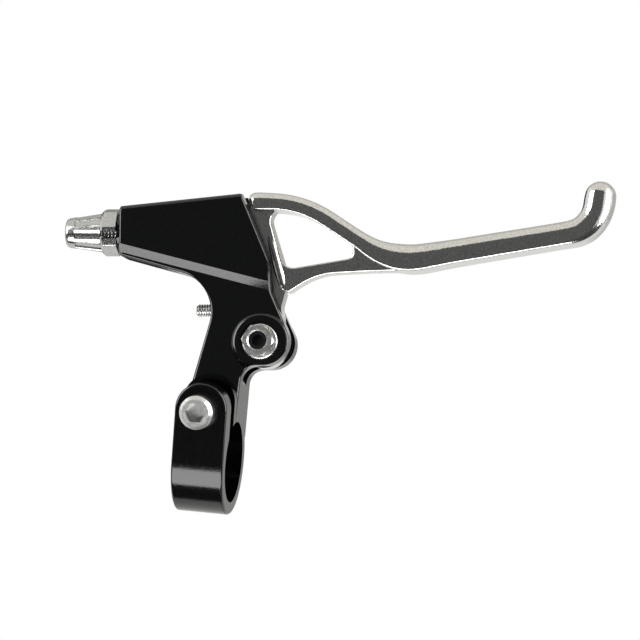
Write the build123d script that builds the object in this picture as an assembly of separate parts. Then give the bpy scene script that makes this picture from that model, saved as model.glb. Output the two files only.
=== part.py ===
from build123d import *
import os
from math import acos, asin, atan2, cos, degrees, hypot, radians, sin, sqrt, tan

# Bicycle brake lever, in millimetres. The origin is the middle of the bar clamp, X runs along the
# handlebar towards the lever tip, Z points away from the bar in the plane the lever swings in, and
# Y is the depth along the pivot bolt, with the pivot nut on the low side.

# Handlebar clamp
BAR_DIAMETER = 22.2
BAR_EASE = 0.05
CLAMP_WALL = 3.4
CLAMP_WIDTH = 14.5
CLAMP_TILT = 10.4
CLAMP_EDGE_ROUND = 0.7
EAR_THICKNESS = 6.0
EAR_RIM = 7.8
EAR_TOP_FLAT = 0.14
SLIT_WIDTH = 4.5
PAD_DEPTH = 4.0
PAD_RISE = 1.5

# Clamp bolt, an M6 socket-head screw
CLAMP_BOLT_RADIUS = 3.0
CLAMP_BOLT_X = -0.55
CLAMP_BOLT_WALL = 0.5
CLAMP_BOLT_END = 9.0
CLAMP_BOLT_END_ROOM = 1.0
CLAMP_HEAD_RADIUS = 4.65
CLAMP_HEAD_HEIGHT = 5.4
CLAMP_HEAD_CHAMFER = 0.9
CLAMP_HEAD_SEAT = 1.2
CLAMP_SOCKET_FLATS = 5.0
CLAMP_SOCKET_DEPTH = 3.2

# Pivot, with the lever's middle plane offset from the clamp's centre
PIVOT_X = 12.1
PIVOT_Z = 33.4
MID_Y = 2.0
PIVOT_BOLT_RADIUS = 2.5
PIVOT_HEAD_RADIUS = 4.25
PIVOT_HEAD_HEIGHT = 3.6
PIVOT_HEAD_ROUND = 0.6
PIVOT_SOCKET_FLATS = 4.0
PIVOT_SOCKET_DEPTH = 2.2
PIVOT_END_INSET = 0.6
PIVOT_END_DIMPLE_RADIUS = 1.6
PIVOT_END_DIMPLE_DEPTH = 4.0
NUT_FLATS = 8.0
NUT_HEIGHT = 4.8
NUT_FLANGE_RADIUS = 5.0
NUT_FLANGE_THICKNESS = 1.2
NUT_EDGE_CHAMFER = 0.5
NUT_MOUTH_DEPTH = 0.35
BUSHING_WALL = 1.0
WASHER_THICKNESS = 0.5
WASHER_RADIUS = 6.0

# Return spring, a wire coil in a recess of the tongue with one leg in the tongue and one in the cheek
SPRING_WIRE = 0.8
SPRING_PITCH = 0.86
SPRING_MEAN_RADIUS = 4.6
SPRING_TURNS = 1.5
SPRING_ROOM = 0.35
SPRING_LEG_ROOM = 0.1
SPRING_LEG_DEPTH = 1.2
SPRING_LEG_RADIUS = 0.385
SPRING_LEG_OVERLAP = 0.2

# Bracket web and cheeks; places are measured from the pivot
WEB_THICKNESS = 12.4
WEB_EDGE_ROUND = 0.7
CHEEK_RADIUS = 8.0
CHEEK_FOOT = 7.0
CHEEK_FOOT_RISE = 1.7
CHEEK_FOOT_ROUND = 7.0
CHEEK_TOP = (1.1, 14.1)
CHEEK_BEND_ROUND = 5.0
NECK_BEND = (-13.1, 15.3)
NECK_BEND_ROUND = 11.5
NECK_ROUND = 4.5
NECK_RIGHT_X = 7.5
NECK_FOOT_Z = 8.0
NECK_LEFT_FOOT_Z = 14.5
NECK_FLARE_TOP_Z = 36.0
NECK_FLARE_ROUND = 20.0
BOSS_RADIUS = 8.2
BOSS_HEIGHT = 1.5
BOSS_ROUND = 1.4
BOSS_RECESS_DEPTH = 0.7
BOSS_RECESS_ROOM = 0.7

# Cable housing of the bracket; above and below are measured from the cable line, square to it
CABLE_TILT = 5.2
HOUSING_LEFT = (-42.95, 27.47)
HOUSING_ABOVE = 6.65
HOUSING_BELOW = 6.95
HOUSING_TOP_RIGHT = (-9.9, 40.5)
HOUSING_KINK = (-0.4, 22.9)
HOUSING_KINK_ROUND = 4.0
PANEL_RAISE = 1.6
PANEL_BELOW = 6.0
PANEL_BEVEL_HEIGHT = 2.2
PANEL_RIGHT = (0.6, 14.5)
PANEL_TOP_ROUND = 1.5
PANEL_SIDE_ROUND = 0.6
COLLAR_RADIUS = 5.4
COLLAR_LENGTH = 1.15
CAVITY_LEFT = 15.0
CAVITY_FLOOR = 20.0
CAVITY_ROUND = 1.0
CABLE_SLIT_WIDTH = 2.2

# Lever tongue, between the cheeks
TONGUE_THICKNESS = 5.0
TONGUE_RADIUS = 6.8
TONGUE_TANGENT = 0.95
TONGUE_ROOM = 0.6
SIDE_ROOM = 0.05
RUNNING_ROOM = 0.05
TONGUE_LEFT = (-7.6, 11.5)
TONGUE_HEAD_LEFT = -14.6
TONGUE_HEAD_FOOT = 24.0
TONGUE_HEAD_TOP = 36.5
TONGUE_CORNER_ROUND = 2.0
TONGUE_ROOT_SHARE = 0.02
TONGUE_HEEL = (4.5, 14.4)
TONGUE_WAIST = (3.8, 10.2)
TONGUE_WAIST_ROUND = 3.0
TONGUE_RIGHT_RISE = 2.0
NIPPLE_RADIUS = 3.6
NIPPLE_X = -9.6
SLOT_FOOT = (-4.2, -13.0)

# Lever truss: a round rib from the bar's root down to the tongue, and the lower arm
RIB_HEAD = (-5.0, 38.9)
RIB_FOOT = (4.3, 14.8)
RIB_WIDTH = 3.9
RIB_DEPTH = 6.6
# Share of the run, and the rib's width and depth there as shares of the full ones
RIB_STATIONS = ((0.0, 1.0, 1.0), (0.6, 1.0, 1.0), (0.88, 0.98, 0.95), (1.0, 0.85, 0.7))
TRUSS_WIDTH = 5.4
TRUSS_EDGE_ROUND = 0.5
COLUMN_LEFT = 0.7
COLUMN_RIGHT = 1.2
COLUMN_FOOT_SHARE = 0.88
HEEL = (4.9, 14.2)
HEEL_ROUND = 1.2
ARM_MIDDLE = (12.8, 20.3)
ARM_MIDDLE_ROUND = 20.0
ARM_END = (27.0, 22.3)
ARM_END_ROUND = 8.0
ARM_ROOT = (39.5, 23.6)
WINDOW_FOOT_Z = 20.4
WINDOW_FOOT_ROUND = 4.0
WINDOW_TIP = (22.6, 25.8)
WINDOW_TIP_ROUND = 1.8
WINDOW_CORNER_Z = 36.6
WINDOW_CORNER_ROUND = 4.0
WINDOW_CORNER_SHARE = 0.12
WINDOW_TOP_SHARE = 0.275
ARM_TOP_SHARE = 0.35

# Lever bar: the corners of its middle line, from the root over the blade to the hooked tip
BAR_ROOT = (-8.2, 38.9)
BAR_RISE = (6.8, 39.9)
BAR_RISE_ROUND = 30.0
BAR_DIP = (33.6, 25.65)
BAR_DIP_ROUND = 22.0
BAR_HOOK = (87.9, 39.4)
BAR_HOOK_ROUND = 9.0
BAR_TIP = (89.14, 52.88)
LEVER_WIDTH = 10.5
CROWN_SHARE = 0.54
HEEL_SHARE = 0.09
KNOB_SHARE = 0.47
KNOB_RADIUS = 4.3
ROOT_ROUND = 2.0
BAR_SECTIONS = 26
END_STEPS = (0.02, 0.13, 0.35, 0.65)
# Share of the run, height, width, and the top and bottom rounding as shares of the height
BAR_STATIONS = (
    (0.0, 5.0, LEVER_WIDTH, CROWN_SHARE, HEEL_SHARE),
    (0.13, 4.7, LEVER_WIDTH, CROWN_SHARE, HEEL_SHARE),
    (0.285, 4.7, LEVER_WIDTH, CROWN_SHARE, HEEL_SHARE),
    (0.434, 7.8, LEVER_WIDTH, CROWN_SHARE, HEEL_SHARE),
    (0.57, 7.0, LEVER_WIDTH, CROWN_SHARE, HEEL_SHARE),
    (0.8, 6.75, LEVER_WIDTH, CROWN_SHARE, HEEL_SHARE),
    (0.95, 2 * KNOB_RADIUS, 2 * KNOB_RADIUS, KNOB_SHARE, KNOB_SHARE),
    (1.0, 2 * KNOB_RADIUS, 2 * KNOB_RADIUS, KNOB_SHARE, KNOB_SHARE),
)

# Barrel adjuster and its locknut, on the cable line
ADJUSTER_RADIUS = 4.0
ADJUSTER_SHANK = 14.0
ADJUSTER_HEAD_LENGTH = 10.3
ADJUSTER_TIP_RADIUS = 4.0
ADJUSTER_SHOULDER_RADIUS = 5.5
ADJUSTER_TIP_ROUND = 1.2
ADJUSTER_RING = 2.4
ADJUSTER_FLUTES = 8
ADJUSTER_FLUTE_RADIUS = 3.0
ADJUSTER_FLUTE_DEPTH = 0.45
ADJUSTER_FLUTE_TURN = 13.0
ADJUSTER_SLOT_TURN = 148.0
CABLE_CASING_RADIUS = 2.6
CABLE_CASING_DEPTH = 9.0
CABLE_HOLE_RADIUS = 1.1
THREAD_ROOM = 0.05
LOCKNUT_SIDES = 8
LOCKNUT_TURN = -5.0
LOCKNUT_SLOT_TURN = 12.0
LOCKNUT_FLATS = 12.5
LOCKNUT_RADIUS = 6.65
LOCKNUT_LENGTH = 4.5
LOCKNUT_CHAMFER = 0.8
LOCKNUT_ROOM = 0.2

# Reach screw, a fine set screw through the neck's left wall
REACH_RADIUS = 1.75
REACH_RISE = 8.7
REACH_PROUD = 7.0
REACH_TIP_ROOM = 0.3
REACH_END_CHAMFER = 0.5
REACH_SOCKET_FLATS = 2.0
REACH_SOCKET_DEPTH = 2.0

# Worked out from the values above
BORE_RADIUS = BAR_DIAMETER / 2 + BAR_EASE
CLAMP_RADIUS = BORE_RADIUS + CLAMP_WALL
BOLT_HOLE_RADIUS = CLAMP_BOLT_RADIUS + THREAD_ROOM
CLAMP_BOLT_RISE = BORE_RADIUS + CLAMP_BOLT_WALL + BOLT_HOLE_RADIUS
CLAMP_HEAD_FLOOR = CLAMP_HEAD_SEAT - CLAMP_RADIUS
EAR_TOP = CLAMP_BOLT_RISE + EAR_RIM
SLIT_FRONT = EAR_THICKNESS - CLAMP_RADIUS
SLOT_WIDTH = TONGUE_THICKNESS + 2 * (WASHER_THICKNESS + SIDE_ROOM)
TONGUE_BACK = MID_Y + TONGUE_THICKNESS / 2
CHEEK_BACK_FACE = MID_Y + SLOT_WIDTH / 2
PIVOT_HOLE_RADIUS = PIVOT_BOLT_RADIUS + THREAD_ROOM
BUSHING_RADIUS = PIVOT_HOLE_RADIUS + BUSHING_WALL
SPRING_HEIGHT = SPRING_TURNS * SPRING_PITCH
SPRING_BACK = TONGUE_BACK - SPRING_ROOM - SPRING_WIRE / 2
SPRING_FRONT = SPRING_BACK - SPRING_HEIGHT
SPRING_FLOOR = SPRING_FRONT - SPRING_WIRE / 2 - SPRING_ROOM
SPRING_LEG_HOLE = SPRING_LEG_RADIUS + SPRING_LEG_ROOM
WEB_FRONT = MID_Y - WEB_THICKNESS / 2
WEB_BACK = MID_Y + WEB_THICKNESS / 2
BOSS_FLOOR_FRONT = WEB_FRONT - BOSS_HEIGHT + BOSS_RECESS_DEPTH
BOSS_FLOOR_BACK = WEB_BACK + BOSS_HEIGHT - BOSS_RECESS_DEPTH
LOCKNUT_END = -COLLAR_LENGTH - LOCKNUT_ROOM
ADJUSTER_SHOULDER = LOCKNUT_END - LOCKNUT_LENGTH - LOCKNUT_ROOM
ADJUSTER_TIP = ADJUSTER_SHOULDER - ADJUSTER_HEAD_LENGTH

# Sides of the hex nut and sockets
HEX_SIDES = 6

# How far cutters run past a face, the reach of endless ones, and the margin for picking edges
PAST = 1.0
FAR = 200.0
NEAR = 0.01


def from_pivot(across, up):
    return (PIVOT_X + across, PIVOT_Z + up)


def on_cable(along, across):
    """A point of the X-Z view, measured along the cable line from the housing's left face."""
    x, z = from_pivot(*HOUSING_LEFT)
    turn = radians(CABLE_TILT)
    return (x + along * cos(turn) - across * sin(turn), z + along * sin(turn) + across * cos(turn))


def outline(*corners):
    """A flat face from corners given as (across, up, rounding radius)."""
    points = [(across, up) for across, up, _ in corners]
    radii = [radius for _, _, radius in corners]
    return make_face(FilletPolyline(*points, radius=radii, close=True))


def slab(face, front, back):
    """A face of the X-Z view as a plate between two depths."""
    return extrude(Plane.XZ.offset(-back) * face, amount=back - front)


def rod(plane, radius, start, end):
    """A round bar along a plane's own normal."""
    ends = (Align.CENTER, Align.CENTER, Align.MIN)
    return plane * Pos(0, 0, start) * Cylinder(radius, end - start, align=ends)


def prism(plane, sides, flats, start, end):
    """A regular bar along a plane's own normal, by its width across flats."""
    face = plane.offset(start) * RegularPolygon(flats / 2, sides, major_radius=False)
    return extrude(face, amount=end - start)


tilt = radians(CLAMP_TILT)
CLAMP_DEPTH_AXIS = Vector(0, cos(tilt), sin(tilt))
CLAMP_SIDE = Plane(origin=(0, 0, 0), x_dir=CLAMP_DEPTH_AXIS, z_dir=(1, 0, 0))
CLAMP_FACE = Plane(origin=(0, 0, 0), x_dir=(1, 0, 0), z_dir=-CLAMP_DEPTH_AXIS)
CLAMP_BOLT_ORIGIN = CLAMP_FACE.from_local_coords((CLAMP_BOLT_X, CLAMP_BOLT_RISE, 0))
CLAMP_BOLT_AXIS = Plane(origin=CLAMP_BOLT_ORIGIN, x_dir=(1, 0, 0), z_dir=CLAMP_DEPTH_AXIS)
PIVOT_AXIS = Plane(origin=(PIVOT_X, 0, PIVOT_Z), x_dir=(1, 0, 0), z_dir=(0, 1, 0))
SPRING_ANGLE = radians(SPRING_TURNS * 360)
SPRING_END = (SPRING_MEAN_RADIUS * cos(SPRING_ANGLE), SPRING_MEAN_RADIUS * sin(SPRING_ANGLE))
FRONT_LEG_AXIS = PIVOT_AXIS * Pos(SPRING_MEAN_RADIUS, 0, 0)
BACK_LEG_AXIS = PIVOT_AXIS * Pos(*SPRING_END, 0)
CABLE_DIRECTION = (cos(radians(CABLE_TILT)), 0, sin(radians(CABLE_TILT)))
CABLE_X, CABLE_Z = on_cable(0, 0)
CABLE_AXIS = Plane(origin=(CABLE_X, MID_Y, CABLE_Z), x_dir=(0, -1, 0), z_dir=CABLE_DIRECTION)
REACH_X, REACH_Z = from_pivot(TONGUE_LEFT[0] - REACH_TIP_ROOM, REACH_RISE)
REACH_AXIS = Plane(origin=(REACH_X, MID_Y, REACH_Z), x_dir=(0, -1, 0), z_dir=CABLE_DIRECTION)
BAR_LINE = FilletPolyline(
    *[from_pivot(*corner) for corner in (BAR_ROOT, BAR_RISE, BAR_DIP, BAR_HOOK, BAR_TIP)],
    radius=[BAR_RISE_ROUND, BAR_DIP_ROUND, BAR_HOOK_ROUND],
)


def clamp_side(top):
    """The clamp's whole depth in the side view: the ring, with a post up to the given height."""
    sweep = 180 + degrees(acos(PAD_DEPTH / CLAMP_RADIUS))
    ring = CenterArc((0, 0), CLAMP_RADIUS, 180, sweep)
    post = Polyline(ring @ 1, (PAD_DEPTH, top), (-CLAMP_RADIUS, top), ring @ 0)
    return extrude(CLAMP_SIDE * make_face([ring, post]), amount=CLAMP_WIDTH / 2, both=True)


def clamp_half(top, near, far):
    """The part of the clamp between two depths, with a domed top at the given height."""
    half = CLAMP_WIDTH / 2
    top_round = half - EAR_TOP_FLAT / 2
    face = outline(
        (-half, -FAR, 0),
        (half, -FAR, 0),
        (half, top, top_round),
        (-half, top, top_round),
    )
    return clamp_side(top) & extrude(CLAMP_FACE.offset(-far) * face, amount=far - near)


def clamp_block():
    """The ring with the ear and the taller pad for the bolt, before the bore and the slit are cut."""
    split = SLIT_FRONT + SLIT_WIDTH / 2
    block = clamp_half(EAR_TOP, -FAR, split) + clamp_half(EAR_TOP + PAD_RISE, split, FAR)
    depth = Axis((0, 0, 0), CLAMP_DEPTH_AXIS)
    front = block.faces().sort_by(depth)[0].edges().sort_by(Axis.Z)[1:]
    rims = block.edges().sort_by(SortBy.LENGTH)[-2:]
    return fillet(front + rims, CLAMP_EDGE_ROUND)


def web_face():
    """The outline of the upright plate: cable housing, cheeks and neck."""
    cheek_x, cheek_z = from_pivot(*CHEEK_TOP)
    down = PIVOT_Z - cheek_z
    reach = hypot(PIVOT_X - cheek_x, down)
    heading = atan2(down, PIVOT_X - cheek_x) + asin(CHEEK_RADIUS / reach)
    neck_top = PIVOT_Z - CHEEK_FOOT
    cheek_foot = neck_top + CHEEK_FOOT_RISE
    cheek_corner = cheek_x + (cheek_foot - cheek_z) / tan(heading)
    half = CLAMP_WIDTH / 2
    return outline(
        (*on_cable(0, HOUSING_ABOVE), 0),
        (*from_pivot(*HOUSING_TOP_RIGHT), 0),
        (*from_pivot(*HOUSING_KINK), HOUSING_KINK_ROUND),
        (cheek_x, cheek_z, CHEEK_BEND_ROUND),
        (cheek_corner, cheek_foot, CHEEK_FOOT_ROUND),
        (NECK_RIGHT_X, neck_top, NECK_ROUND),
        (half, NECK_FOOT_Z, 0),
        (-half, NECK_FOOT_Z, 0),
        (-half, NECK_LEFT_FOOT_Z, NECK_ROUND),
        (*from_pivot(*NECK_BEND), NECK_BEND_ROUND),
        (*on_cable(0, -HOUSING_BELOW), 0),
    )


def web():
    """The upright plate with the cheeks and the neck, which widens backwards to meet the clamp."""
    foot_y = CLAMP_RADIUS - CLAMP_WALL / 3
    side = outline(
        (WEB_FRONT, 0, 0),
        (foot_y, NECK_FOOT_Z / 2, 0),
        (WEB_BACK, NECK_FLARE_TOP_Z, NECK_FLARE_ROUND),
        (WEB_BACK, FAR, 0),
        (WEB_FRONT, FAR, 0),
    )
    plate = slab(web_face(), -FAR, FAR) & extrude(Plane.YZ * side, amount=FAR, both=True)
    rims = [edge for edge in plate.edges() if on_rim(edge)]
    return fillet(rims, WEB_EDGE_ROUND)


def on_rim(edge):
    """True for the web's front and back outline, not for its depth edges, seams or hidden foot."""
    middle = edge.center()
    front = abs(middle.Y - WEB_FRONT) < NEAR
    back = middle.Y > WEB_BACK - NEAR
    level = abs((edge @ 0).Z - (edge @ 1).Z) < NEAR
    seam = level and abs(middle.Z - NECK_FLARE_TOP_Z) < NECK_FLARE_ROUND / 2
    return (front or back) and not seam and middle.Z > NECK_FOOT_Z + WEB_EDGE_ROUND


def housing():
    """The raised cable housing with its bevelled lower edge and its rounded top and side edges."""
    face = outline(
        (*on_cable(0, HOUSING_ABOVE), 0),
        (*from_pivot(*HOUSING_TOP_RIGHT), 0),
        (*from_pivot(*HOUSING_KINK), 0),
        (*from_pivot(*PANEL_RIGHT), 0),
        (*on_cable(0, -PANEL_BELOW), 0),
    )
    block = slab(face, WEB_FRONT - PANEL_RAISE, WEB_BACK + PANEL_RAISE)
    for side in (0, -1):
        panel = block.faces().sort_by(Axis.Y)[side]
        low = panel.edges().sort_by(Axis.Z)[0]
        block = chamfer(low, PANEL_BEVEL_HEIGHT, PANEL_RAISE, reference=panel)
        panel = block.faces().sort_by(Axis.Y)[side]
        block = fillet(panel.edges().sort_by(Axis.Z)[-1], PANEL_TOP_ROUND)
        panel = block.faces().sort_by(Axis.Y)[side]
        level = panel.edges().sort_by(Axis.Z)
        block = fillet([edge for edge in level if edge not in (level[0], level[-1])], PANEL_SIDE_ROUND)
    return block


def pivot_boss(face, direction):
    """A raised round seat on one cheek, cut off where the cheek ends."""
    start, end = sorted((MID_Y, face + direction * BOSS_HEIGHT))
    boss = rod(PIVOT_AXIS, BOSS_RADIUS, start, end)
    rim = boss.edges().sort_by(Axis.Y, reverse=direction > 0)[0]
    return fillet(rim, BOSS_ROUND) & slab(web_face(), -FAR, FAR)


def bracket():
    """The black casting: clamp, neck, cheeks and cable housing in one piece."""
    body = clamp_block() + web() + housing() + pivot_boss(WEB_FRONT, -1) + pivot_boss(WEB_BACK, 1)
    body += rod(CABLE_AXIS, COLLAR_RADIUS, -COLLAR_LENGTH, COLLAR_LENGTH)

    body -= rod(Plane.YZ, BORE_RADIUS, -FAR, FAR)
    body -= clamp_slit()
    body -= lever_slot()
    body -= rod(CLAMP_BOLT_AXIS, BOLT_HOLE_RADIUS, -FAR, CLAMP_BOLT_END + CLAMP_BOLT_END_ROOM)
    body -= rod(CLAMP_BOLT_AXIS, CLAMP_HEAD_RADIUS + THREAD_ROOM, -FAR, CLAMP_HEAD_FLOOR)
    body -= rod(PIVOT_AXIS, PIVOT_HOLE_RADIUS, -FAR, FAR)
    body -= rod(PIVOT_AXIS, NUT_FLANGE_RADIUS + BOSS_RECESS_ROOM, -FAR, BOSS_FLOOR_FRONT)
    body -= rod(PIVOT_AXIS, NUT_FLANGE_RADIUS + BOSS_RECESS_ROOM, BOSS_FLOOR_BACK, FAR)
    leg_end = CHEEK_BACK_FACE + SPRING_LEG_DEPTH + SPRING_LEG_ROOM
    body -= rod(BACK_LEG_AXIS, SPRING_LEG_HOLE, MID_Y, leg_end)
    body -= rod(CABLE_AXIS, ADJUSTER_RADIUS + THREAD_ROOM, -FAR, CAVITY_LEFT + ADJUSTER_RADIUS)
    body -= cable_slit()
    body -= rod(REACH_AXIS, REACH_RADIUS + THREAD_ROOM, -FAR, 0)
    return body


def clamp_slit():
    """The gap that lets the ear close on the bar, from the bore out through the top."""
    gap = Box(FAR, SLIT_WIDTH, FAR, align=(Align.CENTER, Align.MIN, Align.MIN))
    return Rot(CLAMP_TILT, 0, 0) * Pos(0, SLIT_FRONT, 0) * gap


def cable_slit():
    """The way in for the cable along the housing's top, from its left face to the cavity."""
    gap = Box(FAR, CABLE_SLIT_WIDTH, FAR, align=(Align.MAX, Align.CENTER, Align.MIN))
    return Pos(CABLE_X + CAVITY_LEFT, MID_Y, CABLE_Z) * Rot(0, -CABLE_TILT, 0) * gap


def lever_slot():
    """The space between the cheeks: open to the right and above, with a narrow foot in the neck."""
    gap = TONGUE_RADIUS + TONGUE_ROOM
    cavity_left = CABLE_X - PIVOT_X + CAVITY_LEFT
    face = outline(
        (*from_pivot(-gap, 0), 0),
        (*from_pivot(TONGUE_LEFT[0] - 2 * TONGUE_ROOM, TONGUE_LEFT[1]), 0),
        (*from_pivot(TONGUE_HEAD_LEFT - 2 * TONGUE_ROOM, CAVITY_FLOOR), 0),
        (*from_pivot(cavity_left, CAVITY_FLOOR), CAVITY_ROUND),
        (*from_pivot(cavity_left, FAR), 0),
        (*from_pivot(FAR, FAR), 0),
        (*from_pivot(FAR, SLOT_FOOT[1]), 0),
        (*from_pivot(*SLOT_FOOT), 0),
        (*from_pivot(-gap, -gap / 2), 0),
    )
    half = SLOT_WIDTH / 2
    return slab(face, MID_Y - half, MID_Y + half)


def bar_point(share):
    """A point of the X-Z view on the lever bar's middle line."""
    place = BAR_LINE.position_at(share * BAR_LINE.length, position_mode=PositionMode.LENGTH)
    return (place.X, place.Y)


def bar_size(share):
    """Height, width and rounding shares of the lever bar, eased between its stations."""
    for low, high in zip(BAR_STATIONS, BAR_STATIONS[1:]):
        if share <= high[0]:
            part = (share - low[0]) / (high[0] - low[0])
            ease = part * part * (3 - 2 * part)
            return [start + (end - start) * ease for start, end in zip(low[1:], high[1:])]


def end_inset(distance, rounding):
    """How far a rounded end has drawn in, at a distance from its very end."""
    back = max(rounding - distance, 0)
    return rounding - sqrt(rounding ** 2 - back ** 2)


def bar_section(distance):
    """One cross-section of the lever bar, square to its run, drawn in at the two rounded ends."""
    height, width, crown, heel = bar_size(distance / BAR_LINE.length)
    left = BAR_LINE.length - distance
    inset = end_inset(distance, ROOT_ROUND) + end_inset(left, KNOB_RADIUS)
    height -= 2 * inset
    half_width, half_height = width / 2 - inset, height / 2
    x, z = bar_point(distance / BAR_LINE.length)
    heading = BAR_LINE.tangent_at(distance, position_mode=PositionMode.LENGTH)
    plane = Plane(origin=(x, MID_Y, z), x_dir=(0, 1, 0), z_dir=(heading.X, 0, heading.Y))
    return plane * outline(
        (-half_width, -half_height, heel * height),
        (half_width, -half_height, heel * height),
        (half_width, half_height, crown * height),
        (-half_width, half_height, crown * height),
    )


def lever_bar():
    """The long bar: root, arched upper arm, blade and hooked tip, lofted through its sections."""
    root = [ROOT_ROUND * step for step in END_STEPS]
    knob = [BAR_LINE.length - KNOB_RADIUS * step for step in reversed(END_STEPS)]
    span = BAR_LINE.length - ROOT_ROUND - KNOB_RADIUS
    middle = [ROOT_ROUND + span * count / BAR_SECTIONS for count in range(BAR_SECTIONS + 1)]
    return loft([bar_section(distance) for distance in root + middle + knob])


def rib_point(share, offset):
    """A point of the X-Z view along the rib's middle line, and to the right of it."""
    head_x, head_z = from_pivot(*RIB_HEAD)
    run_x, run_z = RIB_FOOT[0] - RIB_HEAD[0], RIB_FOOT[1] - RIB_HEAD[1]
    aside = offset / hypot(run_x, run_z)
    return (head_x + share * run_x - aside * run_z, head_z + share * run_z + aside * run_x)


def rib():
    """The round rib from the bar's root down into the tongue, thinner towards its foot."""
    heading = (RIB_FOOT[0] - RIB_HEAD[0], 0, RIB_FOOT[1] - RIB_HEAD[1])
    sections = []
    for share, width, depth in RIB_STATIONS:
        x, z = rib_point(share, 0)
        plane = Plane(origin=(x, MID_Y, z), x_dir=(0, 1, 0), z_dir=heading)
        sections.append(plane * Ellipse(RIB_DEPTH * depth / 2, RIB_WIDTH * width / 2))
    return loft(sections)


def truss():
    """The plate under the triangular window: a strip hidden in the rib, and the lower arm."""
    drop = RIB_HEAD[1] - RIB_FOOT[1]
    corner_share = (RIB_HEAD[1] - WINDOW_CORNER_Z) / drop
    window_share = (RIB_HEAD[1] - WINDOW_FOOT_Z) / drop
    column_top = rib_point(0, -COLUMN_LEFT)
    column_foot = rib_point(COLUMN_FOOT_SHARE, -COLUMN_LEFT)
    corner_top = bar_point(WINDOW_CORNER_SHARE)
    arm_root = from_pivot(*ARM_ROOT)
    arm_top = bar_point(ARM_TOP_SHARE)
    window_top = bar_point(WINDOW_TOP_SHARE)
    face = outline(
        (*column_top, 0),
        (*column_foot, 0),
        (*from_pivot(*HEEL), HEEL_ROUND),
        (*from_pivot(*ARM_MIDDLE), ARM_MIDDLE_ROUND),
        (*from_pivot(*ARM_END), ARM_END_ROUND),
        (*arm_root, 0),
        (*arm_top, 0),
        (*window_top, 0),
        (*from_pivot(*WINDOW_TIP), WINDOW_TIP_ROUND),
        (*rib_point(window_share, COLUMN_RIGHT), WINDOW_FOOT_ROUND),
        (*rib_point(corner_share, COLUMN_RIGHT), WINDOW_CORNER_ROUND),
        (*corner_top, 0),
    )
    half = TRUSS_WIDTH / 2
    solid = slab(face, MID_Y - half, MID_Y + half)
    buried = (column_top, column_foot, arm_root, arm_top, window_top, corner_top)
    sides = solid.faces().sort_by(Axis.Y)
    rims = [edge for edge in sides[0].edges() + sides[-1].edges() if not joins(edge, buried)]
    return fillet(rims, TRUSS_EDGE_ROUND)


def joins(edge, points):
    """True for an edge of the X-Z view that runs between two of the points."""
    corners = (edge @ 0, edge @ 1)
    return all(any(hypot(c.X - x, c.Z - z) < NEAR for x, z in points) for c in corners)


def tongue():
    """The thin plate between the cheeks that carries the pivot and the cable end."""
    tangent = TONGUE_RADIUS * TONGUE_TANGENT
    face = outline(
        (*from_pivot(-tangent, 0), 0),
        (*from_pivot(*TONGUE_LEFT), TONGUE_CORNER_ROUND),
        (*from_pivot(TONGUE_HEAD_LEFT, TONGUE_HEAD_FOOT), TONGUE_CORNER_ROUND),
        (*from_pivot(TONGUE_HEAD_LEFT, TONGUE_HEAD_TOP), TONGUE_CORNER_ROUND),
        (*bar_point(TONGUE_ROOT_SHARE), 0),
        (*from_pivot(*TONGUE_HEEL), 0),
        (*from_pivot(*TONGUE_WAIST), TONGUE_WAIST_ROUND),
        (*from_pivot(tangent, TONGUE_RIGHT_RISE), 0),
    )
    face += Pos(*from_pivot(0, 0)) * Circle(TONGUE_RADIUS)
    half = TONGUE_THICKNESS / 2
    return slab(face, MID_Y - half, MID_Y + half)


def nipple_seat():
    """The cross hole for the cable's barrel end, with the cable's way out to the left."""
    along = (PIVOT_X + NIPPLE_X - CABLE_X) / cos(radians(CABLE_TILT))
    x, z = on_cable(along, 0)
    hole = Pos(x, z) * Circle(NIPPLE_RADIUS)
    hole = slab(hole, MID_Y - TONGUE_THICKNESS, MID_Y + TONGUE_THICKNESS)
    way = Box(FAR, TONGUE_THICKNESS, CABLE_SLIT_WIDTH, align=(Align.MAX, Align.MIN, Align.CENTER))
    return hole + Pos(x, MID_Y - CABLE_SLIT_WIDTH / 2, z) * Rot(0, -CABLE_TILT, 0) * way


def lever_blade():
    """The polished casting: bar, truss and tongue, bored for the bushing and cut for the spring."""
    body = lever_bar() + truss() + rib() + tongue()
    body -= nipple_seat()
    body -= rod(PIVOT_AXIS, BUSHING_RADIUS + RUNNING_ROOM, -FAR, FAR)
    recess = SPRING_MEAN_RADIUS + SPRING_WIRE / 2 + SPRING_ROOM
    body -= rod(PIVOT_AXIS, recess, SPRING_FLOOR, TONGUE_BACK + PAST)
    leg_end = SPRING_FLOOR - SPRING_LEG_DEPTH - SPRING_LEG_ROOM
    body -= rod(FRONT_LEG_AXIS, SPRING_LEG_HOLE, leg_end, SPRING_FRONT)
    return body


def return_spring():
    """A close wire coil round the bushing, with its two ends bent along the pivot."""
    path = Helix(SPRING_PITCH, SPRING_HEIGHT, SPRING_MEAN_RADIUS)
    wire = Plane(origin=path @ 0, z_dir=path % 0) * Circle(SPRING_WIRE / 2)
    coil = PIVOT_AXIS * Pos(0, 0, SPRING_FRONT) * sweep(wire, path=path, is_frenet=True)
    front_end = SPRING_FLOOR - SPRING_LEG_DEPTH
    back_end = CHEEK_BACK_FACE + SPRING_LEG_DEPTH
    coil += rod(BACK_LEG_AXIS, SPRING_LEG_RADIUS, SPRING_BACK - SPRING_LEG_OVERLAP, back_end)
    coil += rod(FRONT_LEG_AXIS, SPRING_LEG_RADIUS, front_end, SPRING_FRONT + SPRING_LEG_OVERLAP)
    return coil


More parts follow.
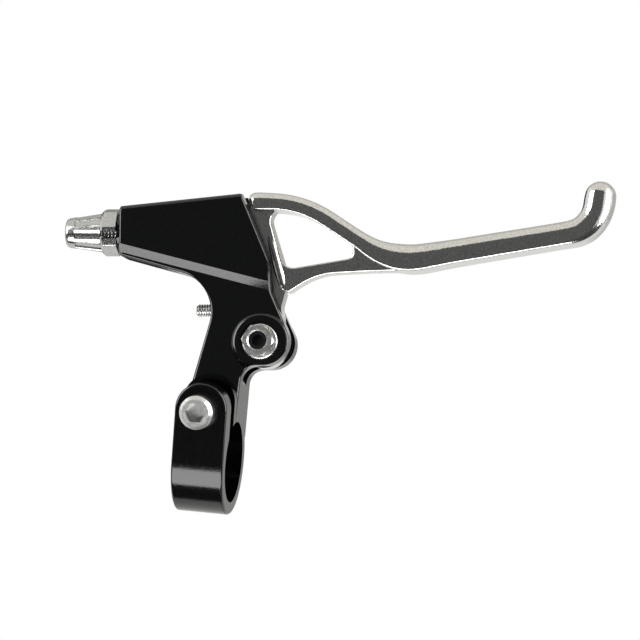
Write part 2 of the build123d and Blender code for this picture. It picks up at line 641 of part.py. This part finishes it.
def pivot_bolt():
    """The pivot's shoulder screw, its head at the back and its hollow end in the nut."""
    head_top = BOSS_FLOOR_BACK + PIVOT_HEAD_HEIGHT
    tip = BOSS_FLOOR_FRONT - NUT_HEIGHT + PIVOT_END_INSET
    head = rod(PIVOT_AXIS, PIVOT_HEAD_RADIUS, BOSS_FLOOR_BACK, head_top)
    head = fillet(head.edges().sort_by(Axis.Y)[-1], PIVOT_HEAD_ROUND)
    body = head + rod(PIVOT_AXIS, PIVOT_BOLT_RADIUS, tip, BOSS_FLOOR_BACK)
    body -= prism(PIVOT_AXIS, HEX_SIDES, PIVOT_SOCKET_FLATS, head_top - PIVOT_SOCKET_DEPTH, head_top + PAST)
    body -= rod(PIVOT_AXIS, PIVOT_END_DIMPLE_RADIUS, tip - PAST, tip + PIVOT_END_DIMPLE_DEPTH)
    return body


def pivot_nut():
    """The flanged hex nut, its outer corners and its thread mouth chamfered."""
    top = BOSS_FLOOR_FRONT - NUT_HEIGHT
    corner = NUT_FLATS / 2 / cos(radians(180 / HEX_SIDES))
    envelope = rod(PIVOT_AXIS, corner, top, BOSS_FLOOR_FRONT)
    envelope = chamfer(envelope.edges().sort_by(Axis.Y)[0], NUT_EDGE_CHAMFER)
    body = prism(PIVOT_AXIS, HEX_SIDES, NUT_FLATS, top, BOSS_FLOOR_FRONT) & envelope
    flange_top = BOSS_FLOOR_FRONT - NUT_FLANGE_THICKNESS
    flange = rod(PIVOT_AXIS, NUT_FLANGE_RADIUS, flange_top, BOSS_FLOOR_FRONT)
    body += fillet(flange.edges().sort_by(Axis.Y)[0], NUT_FLANGE_THICKNESS / 2)
    body -= rod(PIVOT_AXIS, PIVOT_HOLE_RADIUS, -FAR, FAR)
    ends = (Align.CENTER, Align.CENTER, Align.MIN)
    mouth = Cone(PIVOT_HOLE_RADIUS + NUT_MOUTH_DEPTH, PIVOT_HOLE_RADIUS, NUT_MOUTH_DEPTH, align=ends)
    return body - PIVOT_AXIS * Pos(0, 0, top) * mouth


def pivot_bushing():
    """The sleeve on the pivot bolt, as long as the space between the cheeks."""
    half = SLOT_WIDTH / 2
    sleeve = rod(PIVOT_AXIS, BUSHING_RADIUS, MID_Y - half, MID_Y + half)
    return sleeve - rod(PIVOT_AXIS, PIVOT_HOLE_RADIUS, -FAR, FAR)


def thrust_washer(direction):
    """A thin ring between the tongue and one cheek."""
    face = MID_Y + direction * SLOT_WIDTH / 2
    start, end = sorted((face, face - direction * WASHER_THICKNESS))
    disc = rod(PIVOT_AXIS, WASHER_RADIUS, start, end)
    return disc - rod(PIVOT_AXIS, BUSHING_RADIUS + RUNNING_ROOM, -FAR, FAR)


def rear_thrust_washer():
    """The washer under the spring, holed for the spring's back leg."""
    return thrust_washer(1) - rod(BACK_LEG_AXIS, SPRING_LEG_HOLE, -FAR, FAR)


def clamp_bolt():
    """The socket-head screw that pulls the ear towards the pad."""
    top = CLAMP_HEAD_FLOOR - CLAMP_HEAD_HEIGHT
    head = rod(CLAMP_BOLT_AXIS, CLAMP_HEAD_RADIUS, top, CLAMP_HEAD_FLOOR)
    depth = Axis((0, 0, 0), CLAMP_DEPTH_AXIS)
    head = chamfer(head.edges().sort_by(depth)[0], CLAMP_HEAD_CHAMFER)
    body = head + rod(CLAMP_BOLT_AXIS, CLAMP_BOLT_RADIUS, CLAMP_HEAD_FLOOR, CLAMP_BOLT_END)
    body -= prism(CLAMP_BOLT_AXIS, HEX_SIDES, CLAMP_SOCKET_FLATS, top - PAST, top + CLAMP_SOCKET_DEPTH)
    return body


def cable_slot(turn):
    """The way for the cable through one side of the adjuster or its locknut."""
    box = Box(FAR, CABLE_SLIT_WIDTH, FAR, align=(Align.MIN, Align.CENTER, Align.CENTER))
    return CABLE_AXIS * Rot(0, 0, turn) * box


def adjuster_head():
    """The conical grip, with a plain ring at its tip and shallow flutes down to its shoulder."""
    ends = (Align.CENTER, Align.CENTER, Align.MIN)
    cone = Cone(ADJUSTER_TIP_RADIUS, ADJUSTER_SHOULDER_RADIUS, ADJUSTER_HEAD_LENGTH, align=ends)
    head = fillet(cone.edges().sort_by(Axis.Z)[0], ADJUSTER_TIP_ROUND)
    flare = ADJUSTER_SHOULDER_RADIUS - ADJUSTER_TIP_RADIUS
    slope = degrees(atan2(flare, ADJUSTER_HEAD_LENGTH))
    start = ADJUSTER_TIP_RADIUS + ADJUSTER_FLUTE_RADIUS - ADJUSTER_FLUTE_DEPTH
    cutter = Pos(0, 0, ADJUSTER_RING) * Cylinder(ADJUSTER_FLUTE_RADIUS, FAR, align=ends)
    flute = Pos(start, 0, 0) * Rot(0, slope, 0) * cutter
    for count in range(ADJUSTER_FLUTES):
        head -= Rot(0, 0, count * 360 / ADJUSTER_FLUTES) * flute
    return head


def barrel_adjuster():
    """The hollow cable screw with its conical fluted grip."""
    turned = CABLE_AXIS * Rot(0, 0, ADJUSTER_FLUTE_TURN)
    body = turned * Pos(0, 0, ADJUSTER_TIP) * adjuster_head()
    body += rod(CABLE_AXIS, ADJUSTER_RADIUS, ADJUSTER_SHOULDER, ADJUSTER_SHANK)
    body -= rod(CABLE_AXIS, CABLE_CASING_RADIUS, -FAR, ADJUSTER_TIP + CABLE_CASING_DEPTH)
    body -= rod(CABLE_AXIS, CABLE_HOLE_RADIUS, -FAR, FAR)
    return body - cable_slot(ADJUSTER_SLOT_TURN)


def adjuster_locknut():
    """The slotted nut that holds the adjuster against the housing's collar."""
    start = LOCKNUT_END - LOCKNUT_LENGTH
    turned = CABLE_AXIS * Rot(0, 0, LOCKNUT_TURN) * Plane.XY
    envelope = rod(CABLE_AXIS, LOCKNUT_RADIUS, start, LOCKNUT_END)
    along = Axis((0, 0, 0), CABLE_DIRECTION)
    envelope = chamfer(envelope.edges().sort_by(along)[0], LOCKNUT_CHAMFER)
    body = prism(turned, LOCKNUT_SIDES, LOCKNUT_FLATS, start, LOCKNUT_END) & envelope
    body -= rod(CABLE_AXIS, ADJUSTER_RADIUS + THREAD_ROOM, -FAR, FAR)
    return body - cable_slot(LOCKNUT_SLOT_TURN)


def reach_screw():
    """The set screw on which the tongue rests when the lever is open."""
    neck_x, _ = from_pivot(*NECK_BEND)
    start = (neck_x - REACH_PROUD - REACH_X) / cos(radians(CABLE_TILT))
    body = rod(REACH_AXIS, REACH_RADIUS, start, 0)
    body = chamfer(body.edges().filter_by(GeomType.CIRCLE), REACH_END_CHAMFER)
    return body - prism(REACH_AXIS, HEX_SIDES, REACH_SOCKET_FLATS, start - PAST, start + REACH_SOCKET_DEPTH)


pieces = {
    "bracket": bracket(),
    "lever_blade": lever_blade(),
    "barrel_adjuster": barrel_adjuster(),
    "adjuster_locknut": adjuster_locknut(),
    "reach_screw": reach_screw(),
    "clamp_bolt": clamp_bolt(),
    "pivot_bolt": pivot_bolt(),
    "pivot_nut": pivot_nut(),
    "pivot_bushing": pivot_bushing(),
    "front_thrust_washer": thrust_washer(-1),
    "rear_thrust_washer": rear_thrust_washer(),
    "return_spring": return_spring(),
}

os.makedirs("parts", exist_ok=True)
for name, piece in pieces.items():
    export_step(piece, f"parts/{name}.step")
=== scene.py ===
"""Looks of a bicycle brake lever: finishes, cut threads, studio and camera, in metres."""

from math import cos, pi, radians, sin

import bmesh
import bpy
from mathutils import Matrix, Vector


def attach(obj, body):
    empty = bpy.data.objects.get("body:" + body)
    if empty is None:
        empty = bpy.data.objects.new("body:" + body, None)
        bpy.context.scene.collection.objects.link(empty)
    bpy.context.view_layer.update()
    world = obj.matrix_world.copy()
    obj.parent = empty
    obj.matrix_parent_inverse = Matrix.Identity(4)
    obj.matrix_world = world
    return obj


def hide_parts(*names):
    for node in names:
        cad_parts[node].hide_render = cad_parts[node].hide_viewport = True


MM = 0.001

# View of the photograph: turned to the right, from a little below, and rolled
IMAGE_SIDE = 640
PIXELS_PER_MM = 3.628
ORIGIN_PIXEL = (208.03, 459.79)
VIEW_AZIMUTH = radians(10.7)
VIEW_ELEVATION = radians(-5.0)
VIEW_ROLL = radians(6.06)
CAMERA_DISTANCE = 1.37
SENSOR_WIDTH = 36.0

# Studio, round the middle of the object
CENTRE = Vector((0.03, 0.0, 0.04))
FLOOR_Z = -0.12
FLOOR_SIDE = 6.0
BOARD_LIFT = 0.004
GLOW_LIFT = 0.008
ROOM_LIGHT = 0.85

# Screws: points in millimetres on their axes, and the way that each axis runs
CABLE_POINT = Vector((-30.85, 2.0, 60.87))
CABLE_WAY = Vector((cos(radians(5.2)), 0.0, sin(radians(5.2))))
REACH_POINT = Vector((4.2, 2.0, 42.1))
CLAMP_POINT = Vector((-0.55, -2.654, 14.459))
CLAMP_WAY = Vector((0.0, cos(radians(10.4)), sin(radians(10.4))))

# Thread groove: its widths as shares of the pitch, how far it stands out of the crest as a share of
# its depth, and the turn that points its narrow side at the axis
GROOVE_MOUTH = 0.9
GROOVE_FLOOR = 0.1
GROOVE_OVER = 0.25
GROOVE_TURN = radians(270.0)
GROOVE_STEPS = 48
THREAD_CREASE = radians(32.0)
WELD = 0.0005 * MM
UPRIGHT = 0.99


def linear(hex_colour):
    """A linear RGBA colour from an sRGB hex value."""
    channels = [int(hex_colour[i : i + 2], 16) / 255 for i in (1, 3, 5)]
    return [c / 12.92 if c <= 0.04045 else ((c + 0.055) / 1.055) ** 2.4 for c in channels] + [1.0]


def per_mm(size):
    """The scale at which a noise has features of a size in millimetres."""
    return 1.0 / (size * MM)


def add(tree, kind, values=None, links=None, stops=(), **settings):
    """Adds one node with its settings, socket values, incoming links and, on a ramp, colour stops."""
    made = tree.nodes.new(kind)
    for name, value in settings.items():
        setattr(made, name, value)
    for socket, value in (values or {}).items():
        made.inputs[socket].default_value = value
    for socket, source in (links or {}).items():
        tree.links.new(source, made.inputs[socket])
    for number, (position, colour) in enumerate(stops):
        bands = made.color_ramp.elements
        band = bands[number] if number < len(bands) else bands.new(position)
        band.position = position
        band.color = linear(colour)
    return made


def new_material(name):
    """An empty node material, its tree and its object coordinates."""
    material = bpy.data.materials.new(name)
    material.use_nodes = True
    tree = material.node_tree
    tree.nodes.clear()
    return material, tree, add(tree, "ShaderNodeTexCoord").outputs["Object"]


def gloss_black_enamel():
    """Die-cast alloy under sprayed, baked black enamel."""
    material, tree, place = new_material("gloss_black_enamel")
    # The casting was shot-blasted before it was sprayed, and its fine grain, drawn coarser than it is so
    # that it shows, frays the edges of reflections. The enamel itself flows out to a wet, deep black
    # gloss with a shallow orange peel, and a mist of overspray dulls it in places.
    blast = add(tree, "ShaderNodeTexNoise", {"Scale": per_mm(0.35), "Detail": 2.0}, {"Vector": place})
    peel = add(tree, "ShaderNodeTexNoise", {"Scale": per_mm(1.6), "Detail": 1.0}, {"Vector": place})
    mist = add(tree, "ShaderNodeTexNoise", {"Scale": per_mm(0.4), "Detail": 2.0}, {"Vector": place})
    tone = add(
        tree,
        "ShaderNodeValToRGB",
        links={"Fac": mist.outputs["Fac"]},
        stops=((0.35, "#010101"), (0.7, "#050505")),
    )
    gloss = add(
        tree,
        "ShaderNodeMapRange",
        {"From Min": 0.35, "From Max": 0.7, "To Min": 0.08, "To Max": 0.18},
        {"Value": mist.outputs["Fac"]},
    )
    waves = add(tree, "ShaderNodeBump", {"Distance": 0.004 * MM}, {"Height": peel.outputs["Fac"]})
    grain = add(
        tree,
        "ShaderNodeBump",
        {"Distance": 0.015 * MM},
        {"Height": blast.outputs["Fac"], "Normal": waves.outputs["Normal"]},
    )
    shader = add(
        tree,
        "ShaderNodeBsdfPrincipled",
        {"IOR": 1.58},
        {
            "Base Color": tone.outputs["Color"],
            "Roughness": gloss.outputs["Result"],
            "Normal": grain.outputs["Normal"],
        },
    )
    add(tree, "ShaderNodeOutputMaterial", links={"Surface": shader.outputs["BSDF"]})
    return material


def bright_metal(name, grain_mm, grain_depth, wave_mm, wave_depth, dark, light, gloss):
    """A bare or plated metal: slow waves under a fine grain that also clouds its colour and gloss."""
    material, tree, place = new_material(name)
    waves = add(tree, "ShaderNodeTexNoise", {"Scale": per_mm(wave_mm), "Detail": 2.0}, {"Vector": place})
    grain = add(tree, "ShaderNodeTexNoise", {"Scale": per_mm(grain_mm), "Detail": 3.0}, {"Vector": place})
    tone = add(
        tree,
        "ShaderNodeValToRGB",
        links={"Fac": grain.outputs["Fac"]},
        stops=((0.3, dark), (0.7, light)),
    )
    sheen = add(
        tree,
        "ShaderNodeMapRange",
        {"From Min": 0.3, "From Max": 0.7, "To Min": gloss[0], "To Max": gloss[1]},
        {"Value": grain.outputs["Fac"]},
    )
    slow = add(tree, "ShaderNodeBump", {"Distance": wave_depth * MM}, {"Height": waves.outputs["Fac"]})
    fine = add(
        tree,
        "ShaderNodeBump",
        {"Distance": grain_depth * MM},
        {"Height": grain.outputs["Fac"], "Normal": slow.outputs["Normal"]},
    )
    shader = add(
        tree,
        "ShaderNodeBsdfPrincipled",
        {"Metallic": 1.0},
        {
            "Base Color": tone.outputs["Color"],
            "Roughness": sheen.outputs["Result"],
            "Normal": fine.outputs["Normal"],
        },
    )
    add(tree, "ShaderNodeOutputMaterial", links={"Surface": shader.outputs["BSDF"]})
    return material


def stamped_nylon():
    """Washers stamped from natural nylon sheet."""
    material, tree, place = new_material("stamped_nylon")
    # Natural nylon is a cloudy cream white that light enters a little, with a fine sheet grain.
    cloud = add(tree, "ShaderNodeTexNoise", {"Scale": per_mm(1.5), "Detail": 3.0}, {"Vector": place})
    grain = add(tree, "ShaderNodeTexNoise", {"Scale": per_mm(0.3), "Detail": 2.0}, {"Vector": place})
    tone = add(
        tree,
        "ShaderNodeValToRGB",
        links={"Fac": cloud.outputs["Fac"]},
        stops=((0.3, "#d2ccbb"), (0.7, "#e2ddcf")),
    )
    sheen = add(
        tree,
        "ShaderNodeMapRange",
        {"From Min": 0.3, "From Max": 0.7, "To Min": 0.42, "To Max": 0.55},
        {"Value": cloud.outputs["Fac"]},
    )
    bumps = add(tree, "ShaderNodeBump", {"Distance": 0.004 * MM}, {"Height": grain.outputs["Fac"]})
    shader = add(
        tree,
        "ShaderNodeBsdfPrincipled",
        {"IOR": 1.53, "Subsurface Weight": 0.15, "Subsurface Radius": (0.6 * MM, 0.5 * MM, 0.4 * MM)},
        {
            "Base Color": tone.outputs["Color"],
            "Roughness": sheen.outputs["Result"],
            "Normal": bumps.outputs["Normal"],
        },
    )
    add(tree, "ShaderNodeOutputMaterial", links={"Surface": shader.outputs["BSDF"]})
    return material


def thread_groove_tree():
    """Geometry Nodes for one helical thread groove along +Z, as a closed cutter."""
    tree = bpy.data.node_groups.new("thread_groove", "GeometryNodeTree")
    face = tree.interface
    sizes = (("Crest Radius", 4.0 * MM), ("Depth", 0.6 * MM), ("Pitch", 1.0 * MM), ("Turns", 10.0))
    for name, value in sizes:
        face.new_socket(name, in_out="INPUT", socket_type="NodeSocketFloat").default_value = value
    face.new_socket("Finish", in_out="INPUT", socket_type="NodeSocketMaterial")
    face.new_socket("Groove", in_out="OUTPUT", socket_type="NodeSocketGeometry")
    given = add(tree, "NodeGroupInput").outputs

    crest, depth, pitch, turns = [given[name] for name, _ in sizes]
    rise = add(tree, "ShaderNodeMath", links={0: pitch, 1: turns}, operation="MULTIPLY")
    over = add(tree, "ShaderNodeMath", {1: GROOVE_OVER}, {0: depth}, operation="MULTIPLY")
    outer = add(tree, "ShaderNodeMath", links={0: crest, 1: over.outputs[0]}, operation="ADD")
    root = add(tree, "ShaderNodeMath", links={0: crest, 1: depth}, operation="SUBTRACT")
    ends = {0: outer.outputs[0], 1: root.outputs[0]}
    height = add(tree, "ShaderNodeMath", links=ends, operation="SUBTRACT")
    both = add(tree, "ShaderNodeMath", links=ends, operation="ADD")
    middle = add(tree, "ShaderNodeMath", {1: 0.5}, {0: both.outputs[0]}, operation="MULTIPLY")
    mouth = add(tree, "ShaderNodeMath", {1: GROOVE_MOUTH}, {0: pitch}, operation="MULTIPLY")
    floor = add(tree, "ShaderNodeMath", {1: GROOVE_FLOOR}, {0: pitch}, operation="MULTIPLY")
    helix = add(
        tree,
        "GeometryNodeCurveSpiral",
        {"Resolution": GROOVE_STEPS},
        {
            "Rotations": turns,
            "Start Radius": middle.outputs[0],
            "End Radius": middle.outputs[0],
            "Height": rise.outputs[0],
        },
    )
    steady = add(tree, "GeometryNodeSetCurveNormal", links={"Curve": helix.outputs["Curve"]}, mode="Z_UP")
    flanks = add(
        tree,
        "GeometryNodeCurvePrimitiveQuadrilateral",
        {"Offset": 0.0},
        {
            "Height": height.outputs[0],
            "Bottom Width": mouth.outputs[0],
            "Top Width": floor.outputs[0],
        },
        mode="TRAPEZOID",
    )
    turned = add(
        tree,
        "GeometryNodeTransform",
        {"Rotation": (0.0, 0.0, GROOVE_TURN)},
        {"Geometry": flanks.outputs["Curve"]},
    )
    swept = add(
        tree,
        "GeometryNodeCurveToMesh",
        {"Fill Caps": True},
        {"Curve": steady.outputs["Curve"], "Profile Curve": turned.outputs["Geometry"]},
    )
    real = add(tree, "GeometryNodeRealizeInstances", links={"Geometry": swept.outputs["Mesh"]})
    dressed = add(
        tree,
        "GeometryNodeSetMaterial",
        links={"Geometry": real.outputs["Geometry"], "Material": given["Finish"]},
    )
    add(tree, "NodeGroupOutput", links={"Groove": dressed.outputs["Geometry"]})
    return tree


def evaluated_mesh(piece):
    """A plain mesh of a piece with its modifiers applied."""
    bpy.context.view_layer.update()
    graph = bpy.context.evaluated_depsgraph_get()
    return bpy.data.meshes.new_from_object(piece.evaluated_get(graph))


def new_piece(name, mesh):
    """An object at the origin, linked to the scene."""
    piece = bpy.data.objects.new(name, mesh)
    bpy.context.scene.collection.objects.link(piece)
    return piece


def merged_copy(node):
    """A copy of a CAD node's mesh with its loose triangles joined."""
    mesh = node.data.copy()
    if mesh.has_custom_normals:
        mesh.attributes.remove(mesh.attributes["custom_normal"])
    form = bmesh.new()
    form.from_mesh(mesh)
    bmesh.ops.remove_doubles(form, verts=form.verts, dist=WELD)
    form.to_mesh(mesh)
    form.free()
    return mesh


def facing(point, way):
    """A frame at a point whose +Z runs along a way and whose X lies level."""
    ahead = way.normalized()
    above = Vector((0.0, 1.0, 0.0)) if abs(ahead.z) > UPRIGHT else Vector((0.0, 0.0, 1.0))
    across = above.cross(ahead).normalized()
    turn = Matrix((across, ahead.cross(across), ahead)).transposed().to_4x4()
    return Matrix.Translation(point) @ turn


def threaded(node_name, name, finish, groove_tree, start, way, sizes):
    """A CAD screw with a helical groove cut into its shank."""
    groove = new_piece(name + "_groove", bpy.data.meshes.new(name + "_groove"))
    grow = groove.modifiers.new("groove", "NODES")
    grow.node_group = groove_tree
    sockets = {s.name: s.identifier for s in groove_tree.interface.items_tree if s.in_out == "INPUT"}
    for size, value in sizes.items():
        grow[sockets[size]] = value
    grow[sockets["Finish"]] = finish
    cutter = evaluated_mesh(groove)
    cutter.transform(facing(start * MM, way))
    groove.modifiers.remove(grow)
    groove.data = cutter

    screw = new_piece(name, merged_copy(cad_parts[node_name]))
    screw.data.materials.clear()
    screw.data.materials.append(finish)
    cut = screw.modifiers.new("thread", "BOOLEAN")
    cut.operation = "DIFFERENCE"
    cut.solver = "EXACT"
    cut.object = groove
    mesh = evaluated_mesh(screw)
    screw.modifiers.remove(cut)
    bpy.data.objects.remove(groove)
    screw.data = mesh
    mesh.shade_smooth()
    mesh.set_sharp_from_angle(angle=THREAD_CREASE)
    return screw


def dress(node_name, material):
    """Gives a CAD node its material."""
    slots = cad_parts[node_name].data.materials
    slots.clear()
    slots.append(material)


def lamp(name, place, target, size, radiance, mirrored):
    """A rectangular lamp of a given brightness that lights the room, or one that shows in gloss only."""
    light = bpy.data.lights.new(name, "AREA")
    light.shape = "RECTANGLE"
    light.size, light.size_y = size
    light.energy = radiance * pi * size[0] * size[1]
    holder = bpy.data.objects.new(name, light)
    holder.matrix_world = facing(Vector(place), Vector(place) - Vector(target))
    holder.visible_camera = False
    holder.visible_diffuse = not mirrored
    holder.visible_glossy = mirrored
    bpy.context.scene.collection.objects.link(holder)


def board(name, place, target, size, material):
    """A flat studio board facing a point."""
    across, along = size[0] / 2, size[1] / 2
    corners = [(-across, -along, 0), (across, -along, 0), (across, along, 0), (-across, along, 0)]
    mesh = bpy.data.meshes.new(name)
    mesh.from_pydata(corners, [], [(0, 1, 2, 3)])
    mesh.materials.append(material)
    mesh.transform(facing(Vector(place), Vector(target) - Vector(place)))
    piece = new_piece(name, mesh)
    return piece


def mirror_board(name, place, target, size, colour):
    """A board of one even shade that shows in the gloss of the object and nowhere else."""
    material, tree, _ = new_material(name)
    shade = add(tree, "ShaderNodeEmission", {"Color": linear(colour), "Strength": 1.0})
    add(tree, "ShaderNodeOutputMaterial", links={"Surface": shade.outputs["Emission"]})
    piece = board(name, place, target, size, material)
    piece.visible_camera = False
    piece.visible_shadow = False
    piece.visible_diffuse = False


def white_room():
    """A world that is white to the eye and in reflections, and soft room light for the rest."""
    world = bpy.data.worlds.new("white_room")
    bpy.context.scene.world = world
    world.use_nodes = True
    tree = world.node_tree
    tree.nodes.clear()
    path = add(tree, "ShaderNodeLightPath").outputs
    mirrored = {0: path["Is Camera Ray"], 1: path["Is Glossy Ray"]}
    seen = add(tree, "ShaderNodeMath", links=mirrored, operation="MAXIMUM")
    through = {0: seen.outputs[0], 1: path["Is Transmission Ray"]}
    seen = add(tree, "ShaderNodeMath", links=through, operation="MAXIMUM")
    strength = add(
        tree,
        "ShaderNodeMapRange",
        {"To Min": ROOM_LIGHT, "To Max": 1.0},
        {"Value": seen.outputs[0]},
    )
    sky = add(
        tree,
        "ShaderNodeBackground",
        {"Color": linear("#ffffff")},
        {"Strength": strength.outputs["Result"]},
    )
    add(tree, "ShaderNodeOutputWorld", links={"Surface": sky.outputs["Background"]})


def studio():
    """The floor, the boards that the bright metal mirrors, and the lamps."""
    material, tree, place = new_material("white_paper_sweep")
    # Matt paper from a roll: a faint cloudiness, no gloss.
    cloud = add(tree, "ShaderNodeTexNoise", {"Scale": per_mm(40.0), "Detail": 2.0}, {"Vector": place})
    tone = add(
        tree,
        "ShaderNodeValToRGB",
        links={"Fac": cloud.outputs["Fac"]},
        stops=((0.3, "#f3f3f1"), (0.7, "#f6f6f5")),
    )
    paper = add(tree, "ShaderNodeBsdfDiffuse", links={"Color": tone.outputs["Color"]})
    add(tree, "ShaderNodeOutputMaterial", links={"Surface": paper.outputs["BSDF"]})
    board("floor", (0.0, 0.0, FLOOR_Z), (0.0, 0.0, 1.0), (FLOOR_SIDE, FLOOR_SIDE), material)

    # Dark in front and below for the flat faces, pale above, behind and on the right, and dark behind on
    # the left, where it draws a rim on the rounded edges.
    low, high = FLOOR_Z + BOARD_LIFT, FLOOR_Z + GLOW_LIFT
    mirror_board("front_board", (-0.25, -1.3, 0.57), (-0.25, 0.0, 0.57), (2.1, 1.64), "#5e6060")
    mirror_board("floor_board", (0.0, -0.66, low), (0.0, -0.66, 1.0), (2.6, 1.36), "#484848")
    mirror_board("ceiling_board", (0.0, -0.31, 1.2), (0.0, -0.31, 0.0), (3.2, 1.62), "#f2f0ea")
    mirror_board("back_board", (0.0, 0.9, 1.4), (0.0, 0.0, 1.4), (3.2, 2.24), "#d0cec8")
    mirror_board("rear_left_board", (-0.63, 0.75, 0.16), (-0.63, 0.0, 0.16), (0.87, 0.56), "#2c2c2c")
    mirror_board("rear_right_board", (0.58, 0.69, 0.16), (0.0, 0.0, 0.16), (1.2, 0.56), "#cacac8")

    # One soft lamp lights the room. The others show in the gloss only: two walls draw bright lines along
    # the edges, and a glow on the table lights the clamp's belly and the housing's bevel.
    lamp("top_soft", (0.1, -0.35, 0.95), CENTRE, (1.2, 0.6), 1.2, mirrored=False)
    lamp("left_wall", (-0.97, -0.66, 0.35), (0.0, 0.0, 0.35), (0.66, 0.94), 6.0, mirrored=True)
    lamp("right_wall", (0.85, -0.35, 0.45), (0.0, -0.35, 0.45), (0.6, 1.14), 5.0, mirrored=True)
    lamp("table_glow", (0.0, -0.14, high), (0.0, -0.14, 1.0), (0.32, 0.16), 5.0, mirrored=True)


def photo_camera():
    """The camera that sees the object as the photograph does."""
    side = Vector((cos(VIEW_AZIMUTH), sin(VIEW_AZIMUTH), 0.0))
    depth = Vector((-sin(VIEW_AZIMUTH), cos(VIEW_AZIMUTH), 0.0))
    rise = depth * sin(VIEW_ELEVATION) + Vector((0.0, 0.0, cos(VIEW_ELEVATION)))
    right = side * cos(VIEW_ROLL) + rise * sin(VIEW_ROLL)
    up = rise * cos(VIEW_ROLL) - side * sin(VIEW_ROLL)
    back = right.cross(up)
    pixel = MM / PIXELS_PER_MM
    aim = right * (IMAGE_SIDE / 2 - ORIGIN_PIXEL[0]) * pixel
    aim += up * (ORIGIN_PIXEL[1] - IMAGE_SIDE / 2) * pixel
    lens = bpy.data.cameras.new("photo_camera")
    lens.sensor_width = SENSOR_WIDTH
    lens.lens = SENSOR_WIDTH * CAMERA_DISTANCE / (IMAGE_SIDE * pixel)
    holder = bpy.data.objects.new("photo_camera", lens)
    turn = Matrix((right, up, back)).transposed().to_4x4()
    holder.matrix_world = Matrix.Translation(aim + back * CAMERA_DISTANCE) @ turn
    bpy.context.scene.collection.objects.link(holder)
    bpy.context.scene.camera = holder


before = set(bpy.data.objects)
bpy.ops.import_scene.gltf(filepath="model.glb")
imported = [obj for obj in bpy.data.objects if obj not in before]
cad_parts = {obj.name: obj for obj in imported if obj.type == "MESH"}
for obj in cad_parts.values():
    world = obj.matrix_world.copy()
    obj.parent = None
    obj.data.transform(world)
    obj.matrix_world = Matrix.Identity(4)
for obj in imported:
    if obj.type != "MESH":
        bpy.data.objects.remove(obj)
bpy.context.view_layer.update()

enamel = gloss_black_enamel()
# Sand-cast alloy, belt ground and buffed by hand: the casting's slow waves stay, so that
# reflections wander, under the fine grey grain of the buff, drawn coarser than it is so that it shows.
aluminium = bright_metal(
    "buffed_cast_aluminium", 0.45, 0.022, 3.2, 0.05, "#c0bfbc", "#e9e7e3", (0.08, 0.16)
)
# Turned steel under bright nickel: faint turning waves in a mirror that a fine haze softens.
nickel = bright_metal(
    "bright_nickel_plated_steel", 0.3, 0.01, 1.2, 0.012, "#a6a7a6", "#d4d4d2", (0.12, 0.22)
)
# Cold-headed steel under passivated zinc: a cloudy white-grey skin that blurs what it mirrors.
zinc = bright_metal(
    "zinc_plated_steel", 0.9, 0.003, 2.0, 0.006, "#c4c5c4", "#dddcd8", (0.28, 0.36)
)
# Blackened steel under oil: dark, with a soft sheen. Its darkness is also painted shade, standing for the
# shade inside the deep hollow at the bolt's end.
black_oxide_hole_shade = bright_metal(
    "black_oxide_steel_painted_hole_shade", 0.3, 0.006, 1.2, 0.01, "#3c3d3f", "#5c5d5f", (0.2, 0.3)
)
# Pressed bronze powder, oiled: a dull brown metal with small dark pores.
bronze = bright_metal("sintered_bronze", 0.25, 0.01, 1.0, 0.01, "#5b4226", "#a97c48", (0.35, 0.55))
# Cold-drawn wire, browned by its oven: fine drawing marks under a straw to blue film.
wire = bright_metal("drawn_spring_steel", 0.2, 0.004, 1.8, 0.01, "#4c4f55", "#7b705e", (0.28, 0.42))
nylon = stamped_nylon()

dress("bracket", enamel)
dress("lever_blade", aluminium)
dress("adjuster_locknut", nickel)
dress("pivot_nut", zinc)
# The pivot bolt's dark colour partly paints the shade of the hollow at its end.
dress("pivot_bolt", black_oxide_hole_shade)
dress("pivot_bushing", bronze)
dress("front_thrust_washer", nylon)
dress("rear_thrust_washer", nylon)
dress("return_spring", wire)

# Each screw's CAD node, piece, body, finish, and the start, way and sizes of its groove
groove_tree = thread_groove_tree()
screws = (
    (
        "barrel_adjuster",
        "threaded_adjuster",
        "adjuster",
        nickel,
        CABLE_POINT - 6.0 * CABLE_WAY,
        CABLE_WAY,
        {"Crest Radius": 4.0 * MM, "Depth": 0.6 * MM, "Pitch": 1.0 * MM, "Turns": 13.0},
    ),
    (
        "reach_screw",
        "threaded_reach_screw",
        "reach_adjust",
        zinc,
        REACH_POINT - 13.0 * CABLE_WAY,
        CABLE_WAY,
        {"Crest Radius": 1.75 * MM, "Depth": 0.46 * MM, "Pitch": 0.7 * MM, "Turns": 16.0},
    ),
    (
        "clamp_bolt",
        "threaded_clamp_bolt",
        "bracket_body",
        zinc,
        CLAMP_POINT - 9.6 * CLAMP_WAY,
        CLAMP_WAY,
        {"Crest Radius": 3.0 * MM, "Depth": 0.6 * MM, "Pitch": 1.0 * MM, "Turns": 8.0},
    ),
)
for node_name, name, body, finish, start, way, sizes in screws:
    screw = threaded(node_name, name, finish, groove_tree, start, way, sizes)
    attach(screw, body)
    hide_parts(node_name)

white_room()
studio()
photo_camera()
bpy.context.scene.view_settings.view_transform = "Standard"
